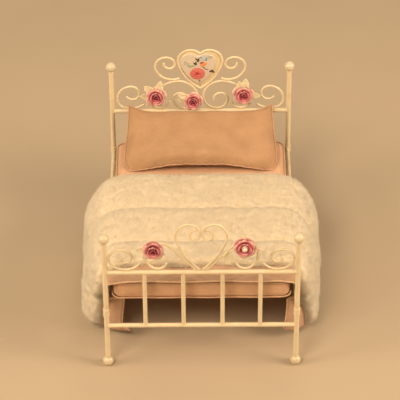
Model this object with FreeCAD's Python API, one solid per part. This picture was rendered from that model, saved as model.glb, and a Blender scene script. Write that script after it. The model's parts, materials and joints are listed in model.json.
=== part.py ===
import FreeCAD, Part
import math
import os

# A dolls' house bedstead of enamelled metal rod and bent wire, with its mattress, pillow and comforter.
# Millimetres: +X to the right seen from the foot, +Y from the foot to the head, +Z up.
# The origin lies on the floor, at the centre of the whole object's bounding box.

os.makedirs("parts", exist_ok=True)

# ---- bedstead: driving dimensions
WIDTH = 115.0              # between post centres, across the bed
LENGTH = 164.4             # between post centres, along the bed
POST_R = 1.6
RAIL_R = 1.45
SPINDLE_R = 1.3
WIRE_R = 0.75              # scroll wire
BALL_R = 3.3
FOOT_FLAT_R = 1.1          # the small flat that each foot ball stands on
FOOT_FINIAL_Z = 98.9
HEAD_FINIAL_Z = 108.1
UPPER_RAIL_Z = 73.3
LOWER_RAIL_Z = 31.6
SIDE_RAIL_Z = 42.2
SPINDLE_XS = (-34.0, -10.9, 12.6, 35.3)    # soldered by hand, so a little uneven
SLAT_COUNT = 4
SLAT_RISE = 0.6            # the slats sit this much higher than the side rails
SOCKET_R = 2.0             # collar on a post that takes the end of a side rail
SOCKET_HEIGHT = 5.0
TOUCH = 0.01               # gap left between soldered pieces that only touch

# ---- roses, leaves and plaque
ROSE_STAND = 6.5           # front of a rose, measured from the plane of its scrolls
CALYX_R = 1.5
CALYX_DEPTH = 0.75
PETAL_THICK = 0.5
BUD_SHARE = 0.2            # radius of the bud at a rose's heart, as a share of the rose's diameter
PETAL_SINK = 0.05          # how far the petals' hinge point stands off the calyx, as such a share
# ---- rings of petals: count, then reach and radius as shares of the diameter, tilt and offset in degrees
PETAL_RINGS = ((5, 0.31, 0.23, 24, 0), (4, 0.2, 0.2, 45, 40))
LEAF_THICK = 0.45
PLAQUE_THICK = 0.8

# ---- bedding
MATTRESS_WIDTH = 106.0
MATTRESS_THICK = 14.0
MATTRESS_BOTTOM_Z = 44.5
MATTRESS_FOOT_GAP = 10.0   # from the foot posts' plane to the mattress
MATTRESS_HEAD_GAP = 12.0   # from the mattress to the head posts' plane
MATTRESS_CORNER_R = 9.0
MATTRESS_EDGE_R = 3.5
CLEAR = 0.3                # air between soft pieces that rest on each other
LINING_THICK = 0.9
LINING_X = 59.3            # inner face of the comforter's hanging sides
HEM_Z = 5.0                # lowest edge of the hanging sides
SHOULDER_R = 9.0           # where the comforter turns down over the sides of the mattress
LIP_BOTTOM_Z = 52.0        # lowest edge of the lining's turned-down end at the foot
FUR_THICK = 5.4
RIB_WIDTHS = (136.0, 144.0, 140.0)          # across each fur rib, from foot to head
RIB_ENDS = (20.4, 43.0, 75.7, 110.0)        # rib edges, measured from the foot posts' plane
RIB_GROOVE = 1.4                            # half the width of the dip between two ribs
GROOVE_DEPTH = 2.0
PILLOW_WIDTH = 97.0
PILLOW_DEPTH = 43.0
PILLOW_THICK = 19.0
PILLOW_TILT = 17.0         # degrees, rear edge up
PILLOW_END_RUN = 17.0      # length of the rounded part at each end of the pillow
PILLOW_BACK_GAP = 7.2      # from the pillow's rear edge to the head posts' plane

# ---- places that follow from them
POST_X = WIDTH / 2
FOOT_Y = (ROSE_STAND - BALL_R - LENGTH) / 2
HEAD_Y = FOOT_Y + LENGTH
FOOT_BALL_Z = math.sqrt(BALL_R ** 2 - FOOT_FLAT_R ** 2)
RAIL_TOP_Z = UPPER_RAIL_Z + RAIL_R + TOUCH                 # where the scrolls stand
MATTRESS_TOP_Z = MATTRESS_BOTTOM_Z + MATTRESS_THICK
MATTRESS_FOOT_Y = FOOT_Y + MATTRESS_FOOT_GAP
MATTRESS_HEAD_Y = HEAD_Y - MATTRESS_HEAD_GAP
LINING_TOP_Z = MATTRESS_TOP_Z + CLEAR + LINING_THICK
SIDES = (("left", -1), ("right", 1))
ENDS = (("foot", FOOT_Y, FOOT_FINIAL_Z), ("head", HEAD_Y, HEAD_FINIAL_Z))

# ---- bent wires: start (x, z), heading in degrees, then bends of (radius, sweep), all for the right side.
# A positive sweep turns anticlockwise seen from the foot. A bend of radius None is a straight run.
# Scrolls on a rail are lowered or raised until they just stand on it.
HEAD_OUTER = ((47.5, 83.5), 237, ((4.2, -115), (5.4, -130), (9.6, -98), (6.4, -57), (14.0, -52)))
HEAD_CENTRE = ((8.8, 81.4), 102, ((4.5, -182), (6.9, -105), (9.2, -93), (12.6, -101), (27.0, -36), (6.6, -200)))
HEAD_UPPER = ((23.5, 110.5), 273, ((3.6, -198), (5.3, -58), (7.0, -120), (11.1, -98)))
HEART_RIM = ((0.0, 118.2), 48, ((8.2, -152), (32.0, -46)))
FOOT_OUTER = ((36.9, 80.4), -54, ((10.6, 97), (7.0, 190), (4.2, 120), (2.4, 130)))
FOOT_CROOK = ((3.2, 75.5), 43, ((58.0, 7), (None, 15.0), (8.9, -128), (11.1, -63), (5.4, -112)))
FOOT_HEART = ((0.8, 75.6), 45, ((56.5, 26), (9.9, 68), (6.7, 166), (2.4, 101), (4.2, 129)))

# ---- roses: name, end, centre (x, z), diameter, turn of the petals in degrees
ROSES = (
    ("head_left", "head", (-28.8, 86.0), 13.0, 10),
    ("head_middle", "head", (-4.8, 82.0), 12.0, 35),
    ("head_right", "head", (28.0, 87.0), 13.4, 60),
    ("foot_left", "foot", (-28.4, 92.4), 13.0, 0),
    ("foot_right", "foot", (25.6, 94.0), 13.6, 45),
)
# ---- leaves of each rose: direction of the tip in degrees from +X, length, width
LEAVES = {
    "head_left": ((128, 9.6, 4.4), (66, 11.0, 4.2), (186, 9.6, 4.2), (222, 9.4, 3.8)),
    "head_middle": ((146, 9.8, 4.2), (178, 9.0, 3.8)),
    "head_right": ((78, 11.6, 4.6), (112, 9.6, 4.2), (350, 10.4, 4.2)),
    "foot_left": ((190, 10.8, 4.6), (222, 10.4, 4.2), (325, 9.4, 4.0)),
    "foot_right": ((226, 15.2, 5.4), (335, 11.6, 4.8), (120, 9.6, 4.4)),
}
LEAF_START = 1.7           # a leaf's base, measured from its rose's centre


def point(x, y, z):
    return FreeCAD.Vector(x, y, z)


def save(node, shape):
    shape.exportStep("parts/" + node + ".step")


def rod(start, end, radius):
    """A round rod between two points."""
    along = end - start
    return Part.makeCylinder(radius, along.Length, start, along)


def ball(x, y, z, radius=BALL_R):
    return Part.makeSphere(radius, point(x, y, z))


def block(low, high):
    size = high - low
    return Part.makeBox(size.x, size.y, size.z, low)


def wire_path(start, heading, bends, plane_y, side):
    """Edges of a bent wire's centre line in the plane Y = plane_y, and its two end points."""
    x, z = start
    angle = math.radians(heading)
    edges = []
    for radius, amount in bends:
        here = point(side * x, plane_y, z)
        if radius is None:
            x += amount * math.cos(angle)
            z += amount * math.sin(angle)
            edges.append(Part.LineSegment(here, point(side * x, plane_y, z)).toShape())
            continue
        turn = math.copysign(1, amount)
        sweep = math.radians(amount)
        centre_x = x - turn * radius * math.sin(angle)
        centre_z = z + turn * radius * math.cos(angle)
        places = []
        for part in (0.5, 1.0):
            reached = angle + part * sweep
            x = centre_x + turn * radius * math.sin(reached)
            z = centre_z - turn * radius * math.cos(reached)
            places.append(point(side * x, plane_y, z))
        edges.append(Part.Arc(here, places[0], places[1]).toShape())
        angle += sweep
    first = point(side * start[0], plane_y, start[1])
    last = point(side * x, plane_y, z)
    return edges, first, last


def bent_wire(shape, plane_y, rounded=True):
    """The right-hand one of a pair of bent round wires, with rounded ends."""
    start, heading, bends = shape
    edges, first, last = wire_path(start, heading, bends, plane_y, 1)
    angle = math.radians(heading)
    section = Part.Wire([Part.Circle(first, point(math.cos(angle), 0, math.sin(angle)), WIRE_R).toShape()])
    solid = Part.Wire(edges).makePipeShell([section], True, False)
    if rounded:
        for end in (first, last):
            solid = solid.fuse(ball(end.x, end.y, end.z, WIRE_R))
    return solid


def mirrored(shape):
    """The left-hand twin of a right-hand shape."""
    return shape.mirror(point(0, 0, 0), point(1, 0, 0))


def make_posts():
    for end, y, finial_z in ENDS:
        for side, sign in SIDES:
            x = sign * POST_X
            finial = ball(x, y, finial_z)
            foot = ball(x, y, FOOT_BALL_Z)
            above_floor = block(point(x - BALL_R, y - BALL_R, 0), point(x + BALL_R, y + BALL_R, 2 * BALL_R))
            foot = foot.common(above_floor)
            post = rod(point(x, y, FOOT_BALL_Z), point(x, y, finial_z), POST_R)
            save(f"post_{end}_{side}", post.cut(finial).cut(foot))
            save(f"finial_{end}_{side}", finial)
            save(f"foot_ball_{end}_{side}", foot)


def make_rails_and_spindles():
    for end, y, _ in ENDS:
        posts = []
        for _, sign in SIDES:
            posts.append(rod(point(sign * POST_X, y, 0), point(sign * POST_X, y, FOOT_FINIAL_Z), POST_R))
        rails = {}
        for level, z in (("lower", LOWER_RAIL_Z), ("upper", UPPER_RAIL_Z)):
            rails[level] = rod(point(-POST_X, y, z), point(POST_X, y, z), RAIL_R)
            save(f"{level}_rail_{end}", rails[level].cut(posts[0]).cut(posts[1]))
        for number, x in enumerate(SPINDLE_XS, 1):
            spindle = rod(point(x, y, LOWER_RAIL_Z), point(x, y, UPPER_RAIL_Z), SPINDLE_R)
            save(f"spindle_{end}_{number}", spindle.cut(rails["lower"]).cut(rails["upper"]))


def make_side_rails():
    """Side rails run from foot to head into a collar on each post, and carry the cross wires."""
    sockets = []
    for _, y, _ in ENDS:
        for _, sign in SIDES:
            low = point(sign * POST_X, y, SIDE_RAIL_Z - SOCKET_HEIGHT / 2)
            high = point(sign * POST_X, y, SIDE_RAIL_Z + SOCKET_HEIGHT / 2)
            sockets.append(rod(low, high, SOCKET_R).cut(rod(low, high, POST_R)))
    save("side_rail_sockets", Part.makeCompound(sockets))
    side_rails = []
    for side, sign in SIDES:
        x = sign * POST_X
        whole = rod(point(x, FOOT_Y, SIDE_RAIL_Z), point(x, HEAD_Y, SIDE_RAIL_Z), SPINDLE_R)
        for y in (FOOT_Y, HEAD_Y):
            low = point(x, y, SIDE_RAIL_Z - SOCKET_HEIGHT / 2)
            high = point(x, y, SIDE_RAIL_Z + SOCKET_HEIGHT / 2)
            whole = whole.cut(rod(low, high, SOCKET_R))
        save(f"side_rail_{side}", whole)
        side_rails.append(whole)
    for number in range(1, SLAT_COUNT + 1):
        y = FOOT_Y + LENGTH * number / (SLAT_COUNT + 1)
        z = SIDE_RAIL_Z + SLAT_RISE
        slat = rod(point(-POST_X, y, z), point(POST_X, y, z), SPINDLE_R)
        save(f"cross_wire_{number}", slat.cut(side_rails[0]).cut(side_rails[1]))


def make_scrolls():
    pieces = (
        ("head_outer_scroll", HEAD_OUTER, HEAD_Y, True, False),
        ("head_centre_scroll", HEAD_CENTRE, HEAD_Y, True, False),
        ("head_upper_scroll", HEAD_UPPER, HEAD_Y, False, False),
        ("foot_outer_scroll", FOOT_OUTER, FOOT_Y, True, False),
        ("foot_crook_scroll", FOOT_CROOK, FOOT_Y, True, False),
        ("foot_heart_wire", FOOT_HEART, FOOT_Y, True, True),
    )
    for name, shape, y, on_rail, meets_twin in pieces:
        right = bent_wire(shape, y)
        box = right.optimalBoundingBox()
        if on_rail:
            right.translate(point(0, 0, RAIL_TOP_Z - box.ZMin))
        if meets_twin:
            right.translate(point(TOUCH - box.XMin, 0, 0))
        save(f"{name}_right", right)
        save(f"{name}_left", mirrored(right))


def make_heart():
    """The headboard's heart: a wire rim around a thin plaque."""
    right_space = block(point(0, HEAD_Y - BALL_R, 0), point(POST_X, HEAD_Y + BALL_R, 2 * HEAD_FINIAL_Z))
    half = bent_wire(HEART_RIM, HEAD_Y, rounded=False).common(right_space)
    rim = half.fuse(mirrored(half)).removeSplitter()
    save("heart_rim", rim)
    start, heading, bends = HEART_RIM
    outline = []
    for _, sign in SIDES:
        edges, _, last = wire_path(start, heading, bends, HEAD_Y - PLAQUE_THICK / 2, sign)
        outline += edges
        if abs(last.x) > TOUCH / 10:
            outline.append(Part.LineSegment(last, point(0, last.y, last.z)).toShape())
    face = Part.Face(Part.Wire(Part.__sortEdges__(outline)))
    plaque = face.extrude(point(0, PLAQUE_THICK, 0))
    save("heart_plaque", plaque.cut(rim))


def rose(x, z, plane_y, diameter, turn):
    """A calyx, two rings of tilted petals and a bud, facing the foot of the bed (-Y)."""
    back_y = plane_y - WIRE_R - TOUCH
    petal_y = back_y - CALYX_DEPTH
    bud_r = BUD_SHARE * diameter
    calyx = rod(point(x, back_y, z), point(x, petal_y - bud_r, z), CALYX_R)
    bud = ball(x, plane_y - ROSE_STAND + bud_r, z, bud_r)
    whole = calyx.fuse(bud)
    for count, reach, radius, tilt, offset in PETAL_RINGS:
        for number in range(count):
            around = turn + offset + 360 * number / count
            petal = Part.makeCylinder(radius * diameter, PETAL_THICK)
            petal.translate(point(reach * diameter, 0, 0))
            petal.rotate(point(0, 0, 0), point(0, 1, 0), -tilt)
            petal.rotate(point(0, 0, 0), point(0, 0, 1), around)
            petal.rotate(point(0, 0, 0), point(1, 0, 0), 90)
            petal.translate(point(x, petal_y - PETAL_SINK * diameter, z))
            whole = whole.fuse(petal)
    return whole


def leaf(x, z, back_y, direction, length, width):
    """A pointed leaf: two arcs that meet at its base and its tip."""
    base = point(LEAF_START, 0, 0)
    tip = point(length, 0, 0)
    middle = (LEAF_START + length) / 2
    upper = Part.Arc(base, point(middle, 0, width / 2), tip).toShape()
    lower = Part.Arc(tip, point(middle, 0, -width / 2), base).toShape()
    blade = Part.Face(Part.Wire([upper, lower])).extrude(point(0, -LEAF_THICK, 0))
    blade.rotate(point(0, 0, 0), point(0, 1, 0), -direction)
    blade.translate(point(x, back_y, z))
    return blade


def make_flowers():
    planes = {"foot": FOOT_Y, "head": HEAD_Y}
    for name, end, (x, z), diameter, turn in ROSES:
        plane_y = planes[end]
        bloom = rose(x, z, plane_y, diameter, turn)
        save(f"rose_{name}", bloom)
        blades = []
        for direction, length, width in LEAVES[name]:
            back_y = plane_y - WIRE_R - 2 * TOUCH
            blade = leaf(x, z, back_y, direction, length, width).cut(bloom)
            for other in blades:
                blade = blade.cut(other)
            blades.append(blade)
        save(f"leaves_{name}", Part.makeCompound(blades))


def make_mattress():
    low = point(-MATTRESS_WIDTH / 2, MATTRESS_FOOT_Y, MATTRESS_BOTTOM_Z)
    high = point(MATTRESS_WIDTH / 2, MATTRESS_HEAD_Y, MATTRESS_TOP_Z)
    pad = block(low, high)
    corners = [edge for edge in pad.Edges if abs(edge.tangentAt(edge.FirstParameter).z) > 0.9]
    pad = pad.makeFillet(MATTRESS_CORNER_R, corners)
    rims = [edge for edge in pad.Edges if edge.BoundBox.ZLength < TOUCH]
    save("mattress", pad.makeFillet(MATTRESS_EDGE_R, rims))


def saddle(inner_x, inner_top, outer_x, outer_top, corner_r, thick, y_low, y_high):
    """An upside-down U, open below: a slab over the mattress with two hanging sides."""
    def outline(half_width, top, radius):
        bend = radius * (1 - math.sqrt(0.5))
        right = [
            Part.LineSegment(point(half_width, y_low, HEM_Z), point(half_width, y_low, top - radius)).toShape(),
            Part.Arc(
                point(half_width, y_low, top - radius),
                point(half_width - bend, y_low, top - bend),
                point(half_width - radius, y_low, top),
            ).toShape(),
            Part.LineSegment(point(half_width - radius, y_low, top), point(radius - half_width, y_low, top)).toShape(),
            Part.Arc(
                point(radius - half_width, y_low, top),
                point(bend - half_width, y_low, top - bend),
                point(-half_width, y_low, top - radius),
            ).toShape(),
            Part.LineSegment(point(-half_width, y_low, top - radius), point(-half_width, y_low, HEM_Z)).toShape(),
            Part.LineSegment(point(-half_width, y_low, HEM_Z), point(half_width, y_low, HEM_Z)).toShape(),
        ]
        return Part.Face(Part.Wire(right)).extrude(point(0, y_high - y_low, 0))

    inner_radius = max(corner_r - thick, CLEAR)
    return outline(outer_x, outer_top, corner_r).cut(outline(inner_x, inner_top, inner_radius))


def make_comforter():
    """A fur cover quilted into three ribs, over a plain lining that runs on to the foot of the mattress."""
    inner_x = LINING_X + LINING_THICK
    back_y = FOOT_Y + RIB_ENDS[-1]
    lip_y = MATTRESS_FOOT_Y - CLEAR - LINING_THICK
    lining = saddle(
        LINING_X, MATTRESS_TOP_Z + CLEAR, inner_x, LINING_TOP_Z,
        SHOULDER_R, LINING_THICK, MATTRESS_FOOT_Y - CLEAR, back_y - RIB_GROOVE,
    )
    lip_low = point(-POST_X, lip_y, LIP_BOTTOM_Z)
    lip = block(lip_low, point(POST_X, lip_y + LINING_THICK, LINING_TOP_Z - CLEAR))
    save("comforter_lining", lining.fuse(lip))
    ribs = []
    outer_top = LINING_TOP_Z + FUR_THICK
    for number, width in enumerate(RIB_WIDTHS):
        y_low = FOOT_Y + RIB_ENDS[number] + RIB_GROOVE
        y_high = FOOT_Y + RIB_ENDS[number + 1] - RIB_GROOVE
        if number == 0:
            y_low -= RIB_GROOVE
        if number == len(RIB_WIDTHS) - 1:
            y_high += RIB_GROOVE
        ribs.append(saddle(inner_x, LINING_TOP_Z, width / 2, outer_top, SHOULDER_R, FUR_THICK, y_low, y_high))
    narrow = min(RIB_WIDTHS) / 2 - GROOVE_DEPTH
    front_y = FOOT_Y + RIB_ENDS[0]
    core = saddle(
        inner_x, LINING_TOP_Z, narrow, outer_top - GROOVE_DEPTH, SHOULDER_R, FUR_THICK, front_y, back_y,
    )
    save("comforter_fur", core.multiFuse(ribs))


def lens(length, depth, end_run, across):
    """A pillow's outline with pointed ends: arcs at both ends and flat between them."""
    half = length / 2
    high = depth / 2
    flat = half - end_run

    def place(u, z):
        return point(u, 0, z) if across == "x" else point(0, u, z)

    edges = []
    for sign in (1, -1):
        radius = (end_run ** 2 + high ** 2) / (2 * high)
        angle = math.asin(end_run / radius) / 2
        middle_u = flat + radius * math.sin(angle)
        middle_z = high - radius * (1 - math.cos(angle))
        edges.append(Part.Arc(
            place(sign * half, 0), place(sign * middle_u, sign * middle_z), place(sign * flat, sign * high),
        ).toShape())
        if flat > TOUCH:
            edges.append(Part.LineSegment(place(sign * flat, sign * high), place(-sign * flat, sign * high)).toShape())
        edges.append(Part.Arc(
            place(-sign * flat, sign * high), place(-sign * middle_u, sign * middle_z), place(-sign * half, 0),
        ).toShape())
    return Part.Face(Part.Wire(edges))


def make_pillow():
    """Two crossed lens shapes give a pillow that is full in the middle and pointed at its corners."""
    across = lens(PILLOW_WIDTH, PILLOW_THICK, PILLOW_END_RUN, "x")
    across.translate(point(0, -PILLOW_DEPTH, 0))
    along = lens(PILLOW_DEPTH, PILLOW_THICK, PILLOW_DEPTH / 2, "y")
    along.translate(point(-PILLOW_WIDTH, 0, 0))
    pillow = across.extrude(point(0, 2 * PILLOW_DEPTH, 0)).common(along.extrude(point(2 * PILLOW_WIDTH, 0, 0)))
    pillow.rotate(point(0, 0, 0), point(1, 0, 0), PILLOW_TILT)
    box = pillow.optimalBoundingBox()
    pillow.translate(point(0, HEAD_Y - PILLOW_BACK_GAP - box.YMax, MATTRESS_TOP_Z + CLEAR - box.ZMin))
    save("pillow", pillow)


make_posts()
make_rails_and_spindles()
make_side_rails()
make_scrolls()
make_heart()
make_flowers()
make_mattress()
make_comforter()
make_pillow()
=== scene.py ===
"""Looks of a miniature four poster bed: a cream enamelled wire bedstead with its bedding."""

import json
import math
import random

import bpy
import numpy as np
from mathutils import Matrix, Vector, kdtree, noise

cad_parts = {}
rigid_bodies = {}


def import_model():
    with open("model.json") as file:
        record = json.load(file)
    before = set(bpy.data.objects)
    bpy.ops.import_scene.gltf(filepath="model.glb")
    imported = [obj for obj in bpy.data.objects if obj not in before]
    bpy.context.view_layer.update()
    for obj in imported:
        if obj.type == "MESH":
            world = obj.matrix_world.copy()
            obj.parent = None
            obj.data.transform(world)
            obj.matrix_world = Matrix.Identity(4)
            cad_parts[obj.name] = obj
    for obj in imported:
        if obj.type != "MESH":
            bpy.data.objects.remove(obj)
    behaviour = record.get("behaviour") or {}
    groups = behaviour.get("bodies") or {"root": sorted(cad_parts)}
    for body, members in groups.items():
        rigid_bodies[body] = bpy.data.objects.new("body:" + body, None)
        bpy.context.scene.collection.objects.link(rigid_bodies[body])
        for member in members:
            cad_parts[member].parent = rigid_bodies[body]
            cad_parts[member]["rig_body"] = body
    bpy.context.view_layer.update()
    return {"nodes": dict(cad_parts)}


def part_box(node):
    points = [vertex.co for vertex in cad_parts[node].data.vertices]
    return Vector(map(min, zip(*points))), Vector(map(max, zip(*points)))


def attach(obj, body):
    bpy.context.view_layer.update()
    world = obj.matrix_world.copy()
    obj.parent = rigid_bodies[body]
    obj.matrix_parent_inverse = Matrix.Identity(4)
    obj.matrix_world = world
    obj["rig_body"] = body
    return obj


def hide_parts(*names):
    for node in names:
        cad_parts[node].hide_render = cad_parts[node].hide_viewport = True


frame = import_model()
MM = 0.001

# ---- places taken from the frame, in millimetres
def box_mm(node):
    low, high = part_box(node)
    return [v / MM for v in low], [v / MM for v in high]


def middle(node, axis):
    low, high = box_mm(node)
    k = "xyz".index(axis)
    return (low[k] + high[k]) / 2


MATTRESS_LOW, MATTRESS_HIGH = box_mm("mattress")
PILLOW_LOW, PILLOW_HIGH = box_mm("pillow")
FOOT_Y = middle("upper_rail_foot", "y")
HEAD_Y = middle("upper_rail_head", "y")
POST_X = middle("post_foot_right", "x")
UPPER_RAIL_Z = middle("upper_rail_foot", "z")
LOWER_RAIL_Z = middle("lower_rail_foot", "z")
RAIL_R = UPPER_RAIL_Z - box_mm("upper_rail_foot")[0][2]


# ------------------------------------------------------------------ materials
class Look:
    """A material and short ways to add nodes to it. Textures read object coordinates, in metres."""

    def __init__(self, name, roughness=0.5, **values):
        self.material = bpy.data.materials.new(name)
        self.material.use_nodes = True
        tree = self.material.node_tree
        self.nodes, self.links = tree.nodes, tree.links
        self.shader = next(n for n in self.nodes if n.type == "BSDF_PRINCIPLED")
        self.shader.inputs["Roughness"].default_value = roughness
        for socket, value in values.items():
            self.shader.inputs[socket.replace("_", " ")].default_value = value
        self.place = self.nodes.new("ShaderNodeTexCoord").outputs["Object"]

    def node(self, kind, **values):
        """A new node. Each value is a plain one or another node's output."""
        node = self.nodes.new("ShaderNode" + kind)
        for name, value in values.items():
            self.feed(node.inputs[name.replace("_", " ")], value)
        return node

    def feed(self, socket, value):
        if isinstance(value, bpy.types.NodeSocket):
            self.links.new(value, socket)
        else:
            socket.default_value = value

    def noise(self, size_mm, detail=3.0, scale=None, rough=0.55):
        place = self.place
        if scale:
            place = self.node("Mapping", Vector=place, Scale=scale).outputs["Vector"]
        node = self.node("TexNoise", Vector=place, Scale=1 / (size_mm * MM), Detail=detail, Roughness=rough)
        return node.outputs["Fac"]

    def threads(self, axis, pitch_mm):
        """Bands across one axis, one for each thread."""
        node = self.node("TexWave", Vector=self.place, Scale=2 * math.pi / (20 * pitch_mm * MM),
                         Distortion=0.6, Detail=1.0, Detail_Scale=0.7)
        node.bands_direction = axis
        return node.outputs["Fac"]

    def math(self, operation, a, b):
        node = self.node("Math")
        node.operation = operation
        for socket, value in zip(node.inputs, (a, b)):
            self.feed(socket, value)
        return node.outputs["Value"]

    def ramp(self, factor, stops):
        node = self.node("ValToRGB", Fac=factor)
        points = node.color_ramp.elements
        while len(points) < len(stops):
            points.new(0.5)
        for point, (at, colour) in zip(points, stops):
            point.position = at
            point.color = (*colour, 1)
        return node.outputs["Color"]

    def mix(self, factor, a, b, kind="MIX"):
        node = self.node("Mix")
        node.data_type = "RGBA"
        node.blend_type = kind
        for name, value in (("Factor", factor), ("A", a), ("B", b)):
            self.feed(node.inputs[name], (*value, 1) if isinstance(value, tuple) else value)
        return node.outputs["Result"]

    def between(self, factor, low, high):
        return self.node("MapRange", Value=factor, To_Min=low, To_Max=high).outputs["Result"]

    def colour(self, source):
        self.links.new(source, self.shader.inputs["Base Color"])

    def roughness(self, factor, low, high):
        self.links.new(self.between(factor, low, high), self.shader.inputs["Roughness"])

    def bump(self, height, depth_mm, strength=1.0):
        node = self.node("Bump", Height=height, Distance=depth_mm * MM, Strength=strength)
        if self.shader.inputs["Normal"].is_linked:
            self.links.new(self.shader.inputs["Normal"].links[0].from_socket, node.inputs["Normal"])
        self.links.new(node.outputs["Normal"], self.shader.inputs["Normal"])


def enamel(name, tint):
    """Hand-dipped cream enamel: uneven tone, soft gloss and a slightly lumpy skin."""
    look = Look(name, Coat_Weight=0.35, Coat_Roughness=0.18)
    deep = tuple(c * k for c, k in zip(tint, (0.95, 0.93, 0.88)))
    pale = tuple(min(1, c * k) for c, k in zip(tint, (1.05, 1.06, 1.08)))
    broad = look.noise(9.0, 4)
    fine = look.noise(0.9, 3)
    toned = look.ramp(broad, ((0.32, deep), (0.5, tint), (0.7, pale)))
    speck = look.ramp(fine, ((0.3, (0.93, 0.90, 0.84)), (0.42, (1, 1, 1))))
    look.colour(look.mix(0.55, toned, speck, "MULTIPLY"))
    look.roughness(fine, 0.24, 0.42)
    look.bump(look.noise(1.6, 3), 0.10)
    look.bump(fine, 0.03)
    return look.material


def cotton(name, light, dark, pitch=0.34, sheen=0.25, upright=True):
    """Plain woven cotton: crossed threads, slubs and broad fading. upright is for upright faces."""
    look = Look(name, roughness=0.85, Sheen_Weight=sheen, Sheen_Roughness=0.45)
    weave = look.math("ADD", look.threads("X", pitch), look.threads("Y", pitch))
    if upright:
        weave = look.math("ADD", weave, look.threads("Z", pitch))
    slubs = look.noise(0.5, 2, scale=(0.18, 1.4, 1.0))
    broad = look.noise(14.0, 4)
    worn = look.ramp(broad, ((0.34, dark), (0.66, light)))
    level = look.math("MULTIPLY", weave, 0.33 if upright else 0.5)
    thread = look.ramp(level, ((0.2, (0.86, 0.84, 0.82)), (0.7, (1.02, 1.02, 1.02))))
    slubbed = look.ramp(slubs, ((0.36, (0.93, 0.92, 0.90)), (0.62, (1.0, 1.0, 1.0))))
    look.colour(look.mix(1.0, look.mix(1.0, worn, thread, "MULTIPLY"), slubbed, "MULTIPLY"))
    look.roughness(slubs, 0.78, 0.95)
    look.bump(weave, 0.035)
    look.bump(look.noise(3.5, 3), 0.16)
    return look.material


def fur_skin():
    """The fur's dense under-layer."""
    look = Look("fur_under_layer", roughness=0.95, Sheen_Weight=0.5, Sheen_Roughness=0.6)
    tufts = look.noise(1.7, 4)
    broad = look.noise(16.0, 3)
    tone = look.ramp(tufts, ((0.3, (0.88, 0.74, 0.52)), (0.62, (0.97, 0.86, 0.65))))
    wash = look.ramp(broad, ((0.35, (0.95, 0.92, 0.88)), (0.65, (1.0, 1.0, 1.0))))
    look.colour(look.mix(1.0, tone, wash, "MULTIPLY"))
    look.bump(tufts, 0.5)
    return look.material


def fur_strand(name, tint):
    """One tone of fur fibre. Its tone is even, and neighbouring tufts have other tones."""
    look = Look(name, roughness=0.7, Sheen_Weight=0.3, Sheen_Roughness=0.4)
    look.shader.inputs["Base Color"].default_value = (*tint, 1)
    look.roughness(look.noise(1.2, 2), 0.55, 0.9)
    look.bump(look.noise(0.4, 2), 0.05)
    return look.material


def petal_look():
    """Tinted porcelain-clay petals: crimson in the heart, pink, then cream at the rim."""
    look = Look("rose_petal", roughness=0.42, Coat_Weight=0.15, Coat_Roughness=0.3)
    tone = look.nodes.new("ShaderNodeAttribute")
    tone.attribute_name = "tone"
    shift = look.between(look.noise(1.1, 3), -0.11, 0.11)
    at = look.math("ADD", tone.outputs["Fac"], shift)
    look.colour(look.ramp(at, (
        (0.02, (0.10, 0.004, 0.014)), (0.2, (0.30, 0.018, 0.05)), (0.4, (0.50, 0.09, 0.13)),
        (0.58, (0.66, 0.24, 0.26)), (0.76, (0.76, 0.49, 0.41)), (0.98, (0.84, 0.72, 0.54)),
    )))
    look.roughness(look.noise(0.8, 3), 0.34, 0.6)
    look.bump(look.noise(0.5, 2, scale=(1.0, 0.4, 1.0)), 0.06)
    return look.material


def leaf_look():
    look = Look("leaf_cream", roughness=0.45, Coat_Weight=0.15, Coat_Roughness=0.3)
    look.colour(look.ramp(look.noise(2.4, 3), (
        (0.3, (0.72, 0.67, 0.42)), (0.5, (0.82, 0.74, 0.51)), (0.7, (0.87, 0.75, 0.56)),
    )))
    look.roughness(look.noise(0.7, 2), 0.35, 0.6)
    look.bump(look.noise(0.6, 3), 0.07)
    return look.material


def glaze(name, tint, depth=0.10, other=None):
    """Painted porcelain: brush marks under a clear glaze."""
    look = Look(name, roughness=0.2, Coat_Weight=0.6, Coat_Roughness=0.06)
    other = other or tuple(c * 0.72 for c in tint)
    strokes = look.noise(0.8, 3, scale=(1.0, 1.0, 2.2))
    look.colour(look.ramp(strokes, ((0.35, other), (0.62, tint))))
    look.roughness(strokes, 0.16, 0.32)
    look.bump(look.noise(2.2, 2), depth)
    return look.material


def paper(name):
    """The studio floor: plain and pale."""
    look = Look(name, roughness=0.9)
    look.colour(look.ramp(look.noise(180.0, 3), ((0.35, (0.43, 0.345, 0.25)), (0.65, (0.46, 0.37, 0.27)))))
    look.bump(look.noise(0.8, 3), 0.02)
    return look.material


ENAMEL = enamel("enamel_cream", (0.74, 0.62, 0.42))
# the balls have the same cream enamel as the rest; this copy is painted darker, as painted shade on the round
# balls
ENAMEL_BALL_PAINTED_SHADE = enamel("enamel_cream_ball_painted_shade", (0.64, 0.55, 0.385))
MATTRESS_COTTON = cotton("mattress_cotton", (0.72, 0.45, 0.28), (0.64, 0.385, 0.235), sheen=0.12)
PILLOW_COTTON = cotton("pillow_cotton", (0.53, 0.315, 0.175), (0.45, 0.262, 0.142), sheen=0.10, upright=False)
PIPING_COTTON = cotton("piping_cotton", (0.68, 0.43, 0.27), (0.58, 0.34, 0.20), pitch=0.28)
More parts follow.
